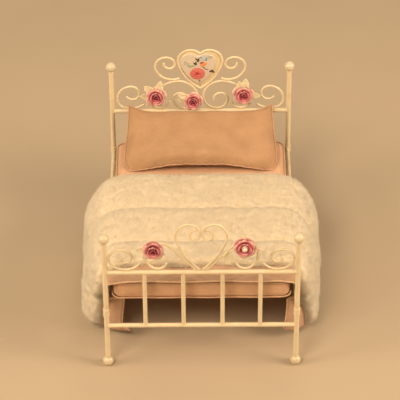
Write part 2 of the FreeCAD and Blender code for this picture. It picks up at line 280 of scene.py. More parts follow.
# the lining's cotton is painted darker than the mattress's: painted shade from the rail and the fur above it
LINING_COTTON_SHADED = cotton("lining_cotton", (0.56, 0.355, 0.235), (0.49, 0.30, 0.19), sheen=0.12)
HEM_COTTON = cotton("hem_cotton", (0.84, 0.58, 0.39), (0.76, 0.50, 0.32), pitch=0.28)
FUR_SKIN = fur_skin()
FUR_TONES = [
    fur_strand("fur_fibre_pale", (0.92, 0.83, 0.67)),
    fur_strand("fur_fibre_cream", (0.90, 0.79, 0.61)),
    fur_strand("fur_fibre_rosy", (0.89, 0.75, 0.58)),
    fur_strand("fur_fibre_straw", (0.87, 0.74, 0.53)),
    fur_strand("fur_fibre_deep", (0.82, 0.68, 0.49)),
]
PETAL = petal_look()
LEAF = leaf_look()


# ------------------------------------------------------------------ meshes
def mesh_from(name, points_mm, faces, scale=1.0):
    mesh = bpy.data.meshes.new(name)
    mesh.from_pydata([tuple(c * MM * scale for c in p) for p in points_mm], [], faces)
    return mesh


def in_scene(name, data):
    """A new object in the scene, showing a mesh, a lamp or a camera."""
    thing = bpy.data.objects.new(name, data)
    bpy.context.scene.collection.objects.link(thing)
    return thing


def make_piece(name, points_mm, faces, material, body):
    """A smooth mesh from points in millimetres, riding on a CAD body."""
    mesh = mesh_from(name, points_mm, faces)
    mesh.materials.append(material)
    mesh.polygons.foreach_set("use_smooth", [True] * len(mesh.polygons))
    mesh.update()
    piece = in_scene(name, mesh)
    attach(piece, body)
    return piece


def thicken(piece, thickness_mm, offset=0):
    """Gives a one-sided mesh two faces. An offset of -1 keeps its outer face where it is."""
    solid = piece.modifiers.new("thickness", "SOLIDIFY")
    solid.thickness = thickness_mm * MM
    solid.offset = offset


def soften(piece):
    smooth = piece.modifiers.new("smooth", "SUBSURF")
    smooth.levels = smooth.render_levels = 1


def grid_faces(rows, columns, start=0, close_columns=False, flip=False):
    faces = []
    for i in range(rows - 1):
        for j in range(columns if close_columns else columns - 1):
            k = (j + 1) % columns
            quad = (start + i * columns + j, start + i * columns + k,
                    start + (i + 1) * columns + k, start + (i + 1) * columns + j)
            faces.append(quad[::-1] if flip else quad)
    return faces


def tube(path, radius, sides=8, closed=False):
    """Points and faces of a round tube along a path, its radius one number or one for each point."""
    path = [Vector(p) for p in path]
    count = len(path)
    radii = radius if isinstance(radius, (list, tuple)) else [radius] * count
    points = []
    normal = None
    for i, here in enumerate(path):
        before = path[i - 1] if closed or i > 0 else here
        after = path[(i + 1) % count] if closed or i < count - 1 else here
        along = (after - before).normalized()
        if normal is None:
            normal = along.orthogonal().normalized()
        normal = (normal - along * normal.dot(along)).normalized()
        across = along.cross(normal)
        for k in range(sides):
            angle = 2 * math.pi * k / sides
            points.append(here + radii[i] * (math.cos(angle) * normal + math.sin(angle) * across))
    faces = grid_faces(count, sides, close_columns=True)
    if closed:
        last = (count - 1) * sides
        faces += [(last + k, last + (k + 1) % sides, (k + 1) % sides, k) for k in range(sides)]
    else:
        faces.append(tuple(range(sides))[::-1])
        faces.append(tuple((count - 1) * sides + k for k in range(sides)))
    return points, faces


class Parts:
    """Points and faces gathered from several shapes into one mesh."""

    def __init__(self):
        self.points, self.faces = [], []

    def add(self, points, faces):
        base = len(self.points)
        self.points += [tuple(p) for p in points]
        self.faces += [tuple(base + i for i in face) for face in faces]

    def piece(self, name, material, body, slot):
        return make_piece(name, self.points, self.faces, material, body)


def smooth_step(low, high, value):
    t = np.clip((value - low) / (high - low), 0.0, 1.0)
    return t * t * (3 - 2 * t)


def catmull(points, per_span):
    """A smooth line through the points."""
    ends = [2 * np.array(points[0]) - np.array(points[1])] + [np.array(p, float) for p in points]
    ends.append(2 * ends[-1] - ends[-2])
    line = []
    for a, b, c, d in zip(ends, ends[1:], ends[2:], ends[3:]):
        for k in range(per_span):
            t = k / per_span
            line.append(0.5 * (2 * b + (c - a) * t + (2 * a - 5 * b + 4 * c - d) * t * t
                               + (3 * b - a - 3 * c + d) * t ** 3))
    line.append(ends[-2])
    return np.array(line)


def even_steps(line, step):
    """The same line with its points a set distance apart."""
    gaps = np.linalg.norm(np.diff(line, axis=0), axis=1)
    run = np.concatenate([[0], np.cumsum(gaps)])
    at = np.linspace(0, run[-1], max(2, int(round(run[-1] / step)) + 1))
    return np.column_stack([np.interp(at, run, line[:, k]) for k in range(line.shape[1])])


# ------------------------------------------------------------------ bedstead
def paint_bedstead():
    for name, node in frame["nodes"].items():
        if node["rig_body"] != "bedstead":
            continue
        # finials and foot balls take the darker enamel copy: painted shade
        look = ENAMEL_BALL_PAINTED_SHADE if name.startswith(("finial", "foot_ball")) else ENAMEL
        node.data.materials.clear()
        node.data.materials.append(look)
        node.data.polygons.foreach_set("use_smooth", [True] * len(node.data.polygons))
        node.data.set_sharp_from_angle(angle=math.radians(40))


def capped(first_tip, rings, last_tip):
    """A closed surface from tip to tip over rings of points, clockwise seen from the first tip."""
    count = len(rings[0])
    points = [first_tip, *(spot for ring in rings for spot in ring), last_tip]
    faces = grid_faces(len(rings), count, start=1, close_columns=True)
    end = len(points) - 1
    for k in range(count):
        after = (k + 1) % count
        faces.append((0, 1 + after, 1 + k))
        faces.append((end, end - count + k, end - count + after))
    return points, faces


def blob(centre, radii, rings=6, sides=12):
    """An ellipsoid of enamel where two wires meet."""
    around = []
    for i in range(1, rings):
        lat = math.pi * i / rings
        ring = []
        for k in range(sides):
            lon = -2 * math.pi * k / sides
            ring.append((
                centre[0] + radii[0] * math.sin(lat) * math.cos(lon),
                centre[1] + radii[1] * math.sin(lat) * math.sin(lon),
                centre[2] + radii[2] * math.cos(lat),
            ))
        around.append(ring)
    top = (centre[0], centre[1], centre[2] + radii[2])
    bottom = (centre[0], centre[1], centre[2] - radii[2])
    return capped(top, around, bottom)


def wire_touches(node, rail_z, reach):
    """Where a bent wire comes down on the rail below it: the low points of its mesh near the rail."""
    mesh = frame["nodes"][node].data
    spots = []
    for vertex in mesh.vertices:
        x, _, z = (c / MM for c in vertex.co)
        if z < rail_z + reach and all(abs(x - other) > 4 for other in spots):
            spots.append(x)
    return spots


def make_solder():
    """Small runs of enamelled solder at the joints of the rails, spindles and scrolls."""
    gathered = Parts()
    draw = random.Random(7)
    for name in frame["nodes"]:
        if name.startswith("spindle_"):
            low, high = box_mm(name)
            x, y = (low[0] + high[0]) / 2, (low[1] + high[1]) / 2
            for z, sign in ((UPPER_RAIL_Z - RAIL_R, -1), (LOWER_RAIL_Z + RAIL_R, 1)):
                size = draw.uniform(1.42, 1.66)
                gathered.add(*blob((x, y, z + 0.15 * sign), (size, size * 0.96, draw.uniform(0.8, 1.15))))
    for end, plane_y in (("foot", FOOT_Y), ("head", HEAD_Y)):
        for name in frame["nodes"]:
            if not name.startswith(end) or name.startswith("foot_ball"):
                continue
            rail_top = UPPER_RAIL_Z + RAIL_R
            for x in wire_touches(name, rail_top, 0.25):
                gathered.add(*blob((x, plane_y, rail_top + 0.25), (draw.uniform(1.1, 1.5), 0.95, 0.62)))
        for rail_z in (UPPER_RAIL_Z, LOWER_RAIL_Z):
            for side in (-1, 1):
                x = side * (POST_X - 1.5)
                gathered.add(*blob((x, plane_y, rail_z), (draw.uniform(0.9, 1.2), 1.72, 1.72)))
    gathered.piece("solder_fillets", ENAMEL, "bedstead", "enamel")


# ------------------------------------------------------------------ comforter
RIB_LINES = (29.4, -4.9, -37.6)     # back edge and the two grooves
RIB_SHARES = (0, 0.397, 0.776, 1.0)         # where those and the front edge come along the pad
FUR_FRONT_Y = -59.0
FUR_FRONTS = (-51.0, -53.0, -60.0, -62.0, FUR_FRONT_Y)      # its front edge from hem to top
SHOULDER = ((0, 59.8), (20, 59.8), (38, 59.8), (48, 59.5), (55.5, 57.6), (60.2, 53.2), (62.3, 46.5),
            (63.8, 37.0), (65.6, 26.0), (66.9, 15.0), (67.2, 5.4))
PROFILE = even_steps(catmull(SHOULDER, 12), 1.4)
FUR_DEPTH = 3.9                     # on top of the mattress, and how much deeper at the sides
SIDE_FULLER = 2.2
GROOVE_SHARE, CREST_SHARE = 0.46, 0.54      # of that depth: all over, and more along a rib's crest
HEM_ROUNDING, EDGE_ROUNDING = 0.045, 0.035  # shares of the pad that its rims take to round off
LINING_BACK_Y = 28.2
LINING_THICKNESS = 0.6
WRAP_START_Y = -38.5
FOOT_SIDE_X = 59.2                  # the cloth just clears the side rails here


def profile_at(s):
    """Half of the comforter's cross-section: x and z at a share s of the way from its middle to its hem."""
    numbers = range(len(PROFILE))
    at = np.clip(s, 0, 1) * (len(PROFILE) - 1)
    return np.interp(at, numbers, PROFILE[:, 0]), np.interp(at, numbers, PROFILE[:, 1])


def base_surface(side, s, t, wrap_r, wrap_angle):
    """A point under the fur, t its Y along the bed. Low down the cloth turns in round the foot corner."""
    x, z = profile_at(s)
    most = math.radians(wrap_angle)
    run = (WRAP_START_Y - t) / wrap_r
    turned = np.clip(run, 0, most)
    rest = np.maximum(0, run - most) * wrap_r
    wrapped_x = x - wrap_r * (1 - np.cos(turned)) - rest * np.sin(turned)
    corner_y = WRAP_START_Y - wrap_r * np.sin(turned) - rest * np.cos(turned)
    wrapped_y = np.where(t > WRAP_START_Y, t, corner_y)
    low = 1 - smooth_step(30.0, 42.0, z)
    px = x + (wrapped_x - x) * low
    py = t + (wrapped_y - t) * low
    # the hanging sides swing in and out a little along their length
    sway = 1 - smooth_step(8.0, 50.0, z)
    px = px + sway * (1.1 * np.sin(t / 9.5 + side) + 0.5 * np.sin(t / 4.1 + 2 * side))
    # at the foot the cloth falls straight, close beside the side rail
    near_foot = (1 - smooth_step(-68.0, -46.0, t)) * smooth_step(34.0, 42.0, z)
    px = px - near_foot * np.maximum(0, px - FOOT_SIDE_X)
    return np.stack([side * px, py, z], axis=-1)


# how the hanging sides turn in at the foot, left and right: radius and angle
WRAPS = {-1: (17.0, 84.0), 1: (20.0, 66.0)}


def under_fur(side, s, t):
    """base_surface for points on both sides at once."""
    points = np.zeros((*s.shape, 3))
    for which, (radius, angle) in WRAPS.items():
        here = base_surface(which, s, t, radius, angle)
        points = np.where((side == which)[..., None], here, points)
    return points


def hem_to_hem(half_columns, rows):
    """A grid over the comforter: shares across and along it, share from its middle, side and height."""
    across = np.concatenate([-np.linspace(1, 0, half_columns), np.linspace(0, 1, half_columns)[1:]])
    share_s, share_t = np.meshgrid(across, np.linspace(0, 1, rows))
    s = np.abs(share_s)
    return share_s, share_t, s, np.where(share_s < 0, -1.0, 1.0), profile_at(s)[1]


def back_edge(y, s):
    """The back edge lies a little nearer the foot down the hanging sides."""
    return y - 1.5 * smooth_step(0.35, 0.9, s)


def rib_height(t):
    """0 in a groove or at an edge, 1 along the crest of a rib."""
    lines = (*RIB_LINES, FUR_FRONT_Y)
    height = np.zeros_like(t)
    for high, low in zip(lines, lines[1:]):
        inside = (t <= high) & (t >= low)
        share = np.clip((t - low) / (high - low), 0, 1)
        height = np.where(inside, np.sqrt(np.clip(1 - (2 * share - 1) ** 4, 0, 1)), height)
    return height


def fur_grid():
    """Outer and inner points of the fur pad, from hem to hem and from its back edge to its front edge."""
    share_s, share_t, s, side, z = hem_to_hem(96, 104)
    wave = 0.9 * np.sin(share_s * 17) * smooth_step(46, 58, z)
    front = np.interp(z, (5, 24, 38, 50, 59), FUR_FRONTS) + wave
    back = back_edge(RIB_LINES[0], s)
    t = back + (front - back) * share_t
    rib_t = np.interp(share_t, RIB_SHARES, (*RIB_LINES, FUR_FRONT_Y))
    inner = under_fur(side, s, t)
    ds, dt = 0.004, 0.25
    over_s = (under_fur(side, s + ds, t) - under_fur(side, s - ds, t)) * side[..., None]
    over_t = under_fur(side, s, t + dt) - under_fur(side, s, t - dt)
    normal = np.cross(over_s, over_t)
    normal /= np.linalg.norm(normal, axis=-1, keepdims=True)
    ribs = rib_height(rib_t)
    hang = 1 - smooth_step(36.0, 60.0, z)
    widths = np.interp(rib_t, (-50, -22, 12, 28), (-1.2, 1.2, 0.4, -0.2))
    shoulder = np.interp(rib_t, (-6, 10, 28), (0.0, 3.0, 3.0)) * smooth_step(14.0, 44.0, z)
    full = FUR_DEPTH + (SIDE_FULLER + widths + shoulder) * hang
    depth = full * (GROOVE_SHARE + CREST_SHARE * ribs)
    hem = np.clip((1 - s) / HEM_ROUNDING, 0, 1)
    edge = np.clip(np.minimum(share_t, 1 - share_t) / EDGE_ROUNDING, 0, 1)
    depth = depth * np.sqrt(1 - (1 - hem) ** 2) * np.sqrt(1 - (1 - edge) ** 2)
    bumps = np.zeros_like(depth)
    for i in range(depth.shape[0]):
        for j in range(depth.shape[1]):
            p = Vector(inner[i, j])
            bumps[i, j] = 0.6 * noise.noise(p / 8.0) + 0.4 * noise.noise(p / 3.4)
    depth = np.maximum(depth + bumps * np.minimum(1, depth), 0.0)
    return inner + normal * depth[..., None], inner


def make_fur_pad():
    outer, inner = fur_grid()
    rows, columns = outer.shape[:2]
    inside = inner.reshape(-1, 3)
    points = list(map(tuple, outer.reshape(-1, 3)))
    faces = grid_faces(rows, columns, flip=True)
    index = {}
    for i in range(rows):
        for j in range(columns):
            rim = i in (0, rows - 1) or j in (0, columns - 1)
            if rim:
                index[i, j] = i * columns + j
            else:
                index[i, j] = len(points)
                points.append(tuple(inside[i * columns + j]))
    for i in range(rows - 1):
        for j in range(columns - 1):
            faces.append((index[i, j], index[i, j + 1], index[i + 1, j + 1], index[i + 1, j]))
    pad = make_piece("comforter_fur_pad", points, faces, FUR_SKIN, "comforter")
    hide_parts("comforter_fur")
    return outer


TUFTS = 11000
TUFT_REACH = 2.4                    # how far a tuft's tip stands out from the skin
FIBRES_PER_PIECE = 49000
FIBRE_PIECES = 4
FIBRE_LENGTH = (1.3, 2.9)
FIBRE_WIDTH = (0.11, 0.19)
FIBRE_PULL = (0.10, 0.62)           # how strongly it leans to its tuft's tip
FIBRE_ROOT = 0.35                   # how far it starts under the skin
LOWEST_TIP = 2.0
OWN_SHADE = 0.6                     # share of a fibre's own roundness in how it is lit
OWN_TONE = 0.45                     # share of the fibres whose tone isn't their tuft's
SPIKE_FACES = ((0, 1, 3), (1, 2, 3), (2, 0, 3), (0, 2, 1))


def fibre_mesh(name, points, faces, tone, shading):
    """A mesh of spikes from points in metres, with a tone for each spike and a normal for each point."""
    mesh = bpy.data.meshes.new(name)
    mesh.vertices.add(len(points))
    mesh.vertices.foreach_set("co", points.astype(np.float32).ravel())
    mesh.loops.add(len(faces) * 3)
    mesh.loops.foreach_set("vertex_index", faces.astype(np.int32).ravel())
    mesh.polygons.add(len(faces))
    mesh.polygons.foreach_set("loop_start", np.arange(0, len(faces) * 3, 3, dtype=np.int32))
    mesh.polygons.foreach_set("material_index", np.repeat(tone, len(SPIKE_FACES)).astype(np.int32))
    mesh.polygons.foreach_set("use_smooth", np.ones(len(faces), bool))
    for look in FUR_TONES:
        mesh.materials.append(look)
    mesh.update(calc_edges=True)
    mesh.normals_split_custom_set_from_vertices(shading.reshape(-1, 3).astype(np.float32))
    return mesh


def make_fur(outer):
    """Short fibres in tufts over the pad's outer face, each a slim three-sided spike."""
    rows, columns = outer.shape[:2]
    flat = outer.reshape(-1, 3)
    quads = np.array(grid_faces(rows, columns, flip=True))
    triangles = np.concatenate([quads[:, [0, 1, 2]], quads[:, [0, 2, 3]]])
    a, b, c = (flat[triangles[:, k]] for k in range(3))
    cross = np.cross(b - a, c - a)
    areas = np.linalg.norm(cross, axis=1) / 2
    normals = cross / np.maximum(np.linalg.norm(cross, axis=1, keepdims=True), 1e-9)
    draw = np.random.default_rng(11)

    def scatter(count):
        chosen = draw.choice(len(triangles), count, p=areas / areas.sum())
        u, v = draw.random((2, count))
        swap = u + v > 1
        u, v = np.where(swap, 1 - u, u), np.where(swap, 1 - v, v)
        spots = a[chosen] + u[:, None] * (b - a)[chosen] + v[:, None] * (c - a)[chosen]
        return spots, normals[chosen]

    tufts, tuft_normals = scatter(TUFTS)
    tuft_lean = draw.normal(0, 0.32, tufts.shape) + np.array([0.0, -0.10, -0.12])
    tuft_tips = tufts + (tuft_normals + tuft_lean) * TUFT_REACH
    tuft_tone = draw.choice(5, len(tufts), p=(0.26, 0.30, 0.18, 0.18, 0.08))
    tree = kdtree.KDTree(len(tufts))
    for number, spot in enumerate(tufts):
        tree.insert(spot, number)
    tree.balance()
    for piece_number in range(FIBRE_PIECES):
        roots, out = scatter(FIBRES_PER_PIECE)
        nearest = np.array([tree.find(spot)[1] for spot in roots])
        pull = draw.uniform(*FIBRE_PULL, len(roots))[:, None]
        free = out + draw.normal(0, 0.5, roots.shape)
        free /= np.linalg.norm(free, axis=1, keepdims=True)
        to_tuft = tuft_tips[nearest] - roots
        to_tuft /= np.linalg.norm(to_tuft, axis=1, keepdims=True)
        lean = free * (1 - pull) + to_tuft * pull
        lean /= np.linalg.norm(lean, axis=1, keepdims=True)
        length = draw.uniform(*FIBRE_LENGTH, len(roots))[:, None]
        roots = roots - out * FIBRE_ROOT
        tips = roots + lean * length
        tips[:, 2] = np.maximum(tips[:, 2], LOWEST_TIP)
        side_a = np.cross(lean, draw.normal(0, 1, roots.shape))
        side_a /= np.maximum(np.linalg.norm(side_a, axis=1, keepdims=True), 1e-9)
        side_b = np.cross(lean, side_a)
        width = draw.uniform(*FIBRE_WIDTH, len(roots))[:, None]
        corners, facing = [], []
        for k in range(3):
            angle = 2 * math.pi * k / 3
            outward = math.cos(angle) * side_a + math.sin(angle) * side_b
            corners.append(roots + width * outward)
            facing.append(out + OWN_SHADE * outward)
        points = np.stack([*corners, tips], axis=1).reshape(-1, 3) * MM
        first = np.arange(len(roots))[:, None] * 4
        faces = np.stack([first + corner for corner in SPIKE_FACES], axis=1).reshape(-1, 3)
        own = draw.choice(5, len(roots), p=(0.25, 0.3, 0.2, 0.15, 0.1))
        tone = np.where(draw.random(len(roots)) < 1 - OWN_TONE, tuft_tone[nearest], own)
        # a fibre catches the light partly as the pile's surface does, partly by its own roundness
        shading = np.stack([*facing, out + OWN_SHADE * lean], axis=1)
        shading /= np.linalg.norm(shading, axis=2, keepdims=True)
        name = f"comforter_fur_fibres_{piece_number + 1}"
        piece = in_scene(name, fibre_mesh(name, points, faces, tone, shading))
        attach(piece, "comforter")


def make_lining():
    """The plain cloth under the fur, seen at the foot of the mattress and inside the hanging sides."""
    _, share_t, s, side, z = hem_to_hem(80, 80)
    front_top = MATTRESS_LOW[1] - 1.9
    left_front = np.interp(z, (5, 7, 9, 36, 42, 50, 59), (-69, -68, -64.5, -64.5, -65, -68, front_top))
    right_front = np.interp(z, (5, 9, 30, 42, 50, 59), (-60, -65.5, -61.5, -64, -68, front_top))
    front = np.where(side < 0, left_front, right_front)
    back = back_edge(LINING_BACK_Y, s)
    t = back + (front - back) * share_t
    points = under_fur(side, s, t)
    # inside the fur by a cloth's thickness, and rolling over the mattress's front edge
    points[..., 0] -= side * 0.6 * smooth_step(0.4, 0.6, s)
    points[..., 2] -= 0.45 * (1 - smooth_step(0.4, 0.6, s))
    roll = 1 - smooth_step(-72.2, -68.0, t)
    top = smooth_step(52.0, 58.0, z)
    points[..., 2] -= 0.3 * roll * top
    points[..., 2] += 0.35 * np.sin(points[..., 0] / 7.0) * (1 - smooth_step(-66, -52, t)) * top
    rows, columns = points.shape[:2]
    # the cloth takes the darker lining cotton: painted shade where the rail and fur shadow it
    cloth = make_piece("comforter_lining_cloth", points.reshape(-1, 3), grid_faces(rows, columns),
                       LINING_COTTON_SHADED, "comforter")
    thicken(cloth, LINING_THICKNESS, offset=-1)
    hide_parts("comforter_lining")
    edge = [tuple(p) for p in points[-1]]
    hem_points, hem_faces = tube(edge, [0.62 + 0.05 * math.sin(k * 1.9) for k in range(len(edge))], 8)
    hem = make_piece("comforter_lining_hem", hem_points, hem_faces, HEM_COTTON, "comforter")


# ------------------------------------------------------------------ stuffed pieces
SIM_SCALE = 10.0


def puff(points_mm, faces, pressure, frames, cap_mm, stiffness=15.0):
    """Swells a closed cloth by simulation, at SIM_SCALE. Gives back its points in millimetres."""
    scene = bpy.context.scene
    ghost = in_scene("puffing", mesh_from("puffing", points_mm, faces, SIM_SCALE))
    cloth = ghost.modifiers.new("cloth", "CLOTH")
    cloth.settings.use_pressure = True
    cloth.settings.uniform_pressure_force = pressure
    cloth.settings.effector_weights.gravity = 0
    cloth.settings.quality = 6
    cloth.settings.tension_stiffness = stiffness
    cloth.settings.compression_stiffness = stiffness
    cloth.settings.shear_stiffness = stiffness
    cloth.settings.bending_stiffness = 0.6
    cloth.collision_settings.use_collision = False
    cloth.point_cache.frame_start = 1
    cloth.point_cache.frame_end = frames
    for number in range(1, frames + 1):
        scene.frame_set(number)
    depsgraph = bpy.context.evaluated_depsgraph_get()
    moved = ghost.evaluated_get(depsgraph).to_mesh()
    swollen = np.array([v.co for v in moved.vertices]) / MM / SIM_SCALE
    bpy.data.objects.remove(ghost)
    scene.frame_set(1)
    start = np.array([tuple(p) for p in points_mm])
    shift = swollen - start
    size = np.linalg.norm(shift, axis=1, keepdims=True)
    return start + shift * np.minimum(1, cap_mm / np.maximum(size, 1e-9))


def two_sided(width, depth, step, bulge):
    """A flat bag: two grids that share a rim. Gives points, faces and the rim's numbers in order."""
    nx, ny = int(width / step), int(depth / step)
    points, faces, index = [], [], {}
    for face in (1, -1):
        for i in range(ny + 1):
            for j in range(nx + 1):
                rim = i in (0, ny) or j in (0, nx)
                if rim and face == -1:
                    index[face, i, j] = index[1, i, j]
                    continue
                u, v = 2 * j / nx - 1, 2 * i / ny - 1
                rise = bulge * (1 - u ** 4) * (1 - v ** 4)
                index[face, i, j] = len(points)
                points.append((u * width / 2, v * depth / 2, face * rise))
        for i in range(ny):
            for j in range(nx):
                corners = ((i, j), (i, j + 1), (i + 1, j + 1), (i + 1, j))
                quad = tuple(index[face, row, column] for row, column in corners)
                faces.append(quad if face == 1 else quad[::-1])
    rim = [index[1, 0, j] for j in range(nx)] + [index[1, i, nx] for i in range(ny)]
    rim += [index[1, ny, j] for j in range(nx, 0, -1)] + [index[1, i, 0] for i in range(ny, 0, -1)]
    return points, faces, rim


PILLOW_BAG = (101.0, 49.0)          # flat, before it is stuffed
PILLOW_LENGTH = 46.5
PILLOW_THICK = 18.5
PILLOW_TILT = 18.5
PILLOW_GAP = 0.35                   # its underside above the mattress
PRESS = 1.2
FRONT_SEAM = (36.0, 65.3)          # y and z of the middle of the seam nearest the foot


def make_pillow():
    """A small stuffed pillow, pointed at its corners, leaning up towards the headboard."""
    points, faces, rim = two_sided(*PILLOW_BAG, step=1.5, bulge=4.0)
    swollen = puff(points, faces, pressure=0.5, frames=16, cap_mm=9.0, stiffness=40.0)
    swollen -= (swollen.max(0) + swollen.min(0)) / 2
    want = (PILLOW_HIGH[0] - PILLOW_LOW[0] + 1.0, PILLOW_LENGTH, PILLOW_THICK)
    swollen *= np.array(want) / (swollen.max(0) - swollen.min(0))
    u, v = swollen[:, 0] / (want[0] / 2), swollen[:, 1] / (want[1] / 2)
    # the front seam rides up in its middle, and the corners droop
    near = 1 - smooth_step(-1.0, -0.2, v)
    swollen[:, 2] += near * (5.0 * np.cos(u * math.pi / 2) ** 1.5 - 3.2 * u ** 4)
    # narrower towards the headboard, and round at the front corners
    swollen[:, 0] *= 1 - 0.045 * smooth_step(-0.6, 0.9, v)
    corner = smooth_step(0.80, 1.0, np.abs(u)) * (1 - smooth_step(-1.0, -0.62, v))
    swollen[:, 0] -= np.sign(u) * 2.6 * corner
    swollen[:, 1] += 1.2 * corner
    # puckers run in from the seam, and the cloth is softly uneven
    from_seam = np.minimum(1 - np.abs(u), 1 - np.abs(v))
    puckers = 0.34 * np.sin(44 * u + 3 * np.sin(9 * u)) * np.exp(-((1 - np.abs(v)) / 0.22) ** 2)
    puckers += 0.30 * np.sin(21 * v + 2) * np.exp(-((1 - np.abs(u)) / 0.09) ** 2)
    soft = np.array([noise.noise(Vector(p) / 17.0) for p in swollen])
    swollen[:, 2] += (puckers + 1.1 * soft) * np.sign(swollen[:, 2]) * smooth_step(0.0, 0.06, from_seam)
    tilt = math.radians(PILLOW_TILT)
    turned = swollen.copy()
    turned[:, 1] = swollen[:, 1] * math.cos(tilt) - swollen[:, 2] * math.sin(tilt)
    turned[:, 2] = swollen[:, 1] * math.sin(tilt) + swollen[:, 2] * math.cos(tilt)
    middle_front = turned[(np.abs(u) < 0.2) & (v < -0.9)]
    turned[:, 1] += FRONT_SEAM[0] - middle_front[:, 1].min()
    turned[:, 2] += FRONT_SEAM[1] - middle_front[:, 2].mean()
    # the rear corners stand up as ears
    ear = np.abs(u) ** 7 * smooth_step(0.0, 1.0, v)
    turned[:, 1] += 2.6 * ear
    turned[:, 2] += 3.4 * ear
    # where it lies on the mattress it is pressed flat, softly over the last PRESS of height
    rest_z = MATTRESS_HIGH[2] + PILLOW_GAP
    below = turned[:, 2] < rest_z + PRESS
    squeezed = rest_z + PRESS * np.exp((turned[:, 2] - rest_z - PRESS) / PRESS)
    turned[:, 2] = np.where(below, np.maximum(squeezed, rest_z), turned[:, 2])
    pillow = make_piece("pillow_stuffed", turned, faces, PILLOW_COTTON, "pillow")
    soften(pillow)
    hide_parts("pillow")
    seam = [turned[k] for k in rim]
    radii = [0.42 + 0.10 * math.sin(k * 2.1) for k in range(len(seam))]
    gathered = Parts()
    gathered.add(*tube(seam, radii, 8, closed=True))
    front = [p for p in seam if p[1] < seam[0][1] + 12 and abs(p[0]) < 44]
    front.sort(key=lambda p: p[0])
    for x, y, z in front[::2]:
        gathered.add(*blob((x, y - 0.42, z + 0.28), (0.62, 0.30, 0.30), 5, 8))
    gathered.piece("pillow_seam", PIPING_COTTON, "pillow", "pillow_cotton")


def rounded_rectangle(half_x, half_y, radius, step):
    """A closed line round a rectangle with round corners, its points evenly spaced."""
    line = []
    for cx, cy, start in ((1, 1, 0), (-1, 1, 90), (-1, -1, 180), (1, -1, 270)):
        for k in range(13):
            angle = math.radians(start + 7.5 * k)
            line.append((cx * (half_x - radius) + radius * math.cos(angle),
                         cy * (half_y - radius) + radius * math.sin(angle)))
    line.append(line[0])
    return even_steps(np.array(line), step)[:-1]


MATTRESS_CORNER = 5.5
MATTRESS_FORWARD = 1.8              # how far its filling pushes the foot end out
MATTRESS_WIDER = 1.8                # and each side


def make_mattress():
    """A stuffed cotton mattress with piped edges."""
    centre = [(a + b) / 2 for a, b in zip(MATTRESS_LOW, MATTRESS_HIGH)]
    half = [(b - a) / 2 - 0.55 for a, b in zip(MATTRESS_LOW, MATTRESS_HIGH)]
    half[0] += MATTRESS_WIDER
    half[1] += MATTRESS_FORWARD / 2
    centre[1] -= MATTRESS_FORWARD / 2
    layers = []
    steps = 7
    for k in range(steps + 1):
        z = -half[2] + 2 * half[2] * k / steps
        share = abs(2 * k / steps - 1)
        inset = 0.9 * max(0.0, share - 0.55) ** 2 / 0.2
        layers.append((z, inset))
    outline = rounded_rectangle(half[0], half[1], MATTRESS_CORNER, 2.2)
    count = len(outline)
    points, faces = [], []
    for z, inset in layers:
        shrink = np.array([(half[0] - inset) / half[0], (half[1] - inset) / half[1]])
        points += [(x, y, z) for x, y in outline * shrink]
    faces += grid_faces(len(layers), count, close_columns=True)
    rings = 22
    for top, first in ((True, (len(layers) - 1) * count), (False, 0)):
        previous = list(range(first, first + count))
        z = layers[-1][0] if top else layers[0][0]
        base = np.array([points[k][:2] for k in previous])
        for ring in range(1, rings):
            shrink = 1 - ring / rings
            start = len(points)
            points += [(x * shrink, y * shrink, z) for x, y in base]
            now = list(range(start, start + count))
            for k in range(count):
                quad = (previous[k], previous[(k + 1) % count], now[(k + 1) % count], now[k])
                faces.append(quad if top else quad[::-1])
            previous = now
        points.append((0, 0, z))
        for k in range(count):
            fan = (previous[k], previous[(k + 1) % count], len(points) - 1)
            faces.append(fan if top else fan[::-1])
    swollen = puff(points, faces, pressure=1.6, frames=14, cap_mm=0.55)
    swollen += np.array(centre)
    pad = make_piece("mattress_stuffed", swollen, faces, MATTRESS_COTTON, "mattress")
    soften(pad)
    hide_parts("mattress")
    gathered = Parts()
    line = rounded_rectangle(half[0] - 0.1, half[1] - 0.1, MATTRESS_CORNER, 1.6)
    for z in (centre[2] - half[2] + 0.9, centre[2] + half[2] - 1.3):
        path = []
        for k, (x, y) in enumerate(line):
            path.append((x + centre[0], y + centre[1], z + 0.12 * math.sin(k * 0.35)))
        radii = [0.50 + 0.05 * math.sin(k * 1.7) for k in range(len(path))]
        gathered.add(*tube(path, radii, 8, closed=True))
    gathered.piece("mattress_piping", PIPING_COTTON, "mattress", "mattress_cotton")


# ------------------------------------------------------------------ roses and leaves
# rose: x, z, diameter, end of the bed, seed of its draws
ROSES = {
    "head_left": (-28.8, 86.0, 13.0, "head", 3),
    "head_middle": (-4.8, 82.0, 12.0, "head", 5),
    "head_right": (28.0, 87.0, 13.4, "head", 8),
    "foot_left": (-28.4, 92.4, 13.0, "foot", 13),
    "foot_right": (25.6, 94.0, 13.6, "foot", 21),
}
# the leaves of each rose: direction, length, width, bend, share that is stalk
LEAVES = {
    "head_left": (
        (132, 11.0, 6.0, 0, 0), (66, 12.5, 5.4, 20, 0), (186, 10.8, 5.0, -15, 0), (222, 10.0, 4.2, 10, 0),
    ),
    "head_middle": ((146, 11.0, 5.4, 12, 0), (178, 10.4, 4.8, -10, 0)),
    "head_right": ((78, 12.6, 5.4, 12, 0), (112, 11.0, 5.4, -15, 0), (350, 11.4, 5.0, 12, 0)),
    "foot_left": ((190, 10.8, 4.2, -20, 0), (222, 9.6, 3.8, 12, 0), (325, 8.6, 3.8, 10, 0)),
    "foot_right": ((178, 21.0, 5.8, 122, 0.42), (335, 11.0, 4.4, 15, 0), (112, 9.0, 4.6, -12, 0)),
}
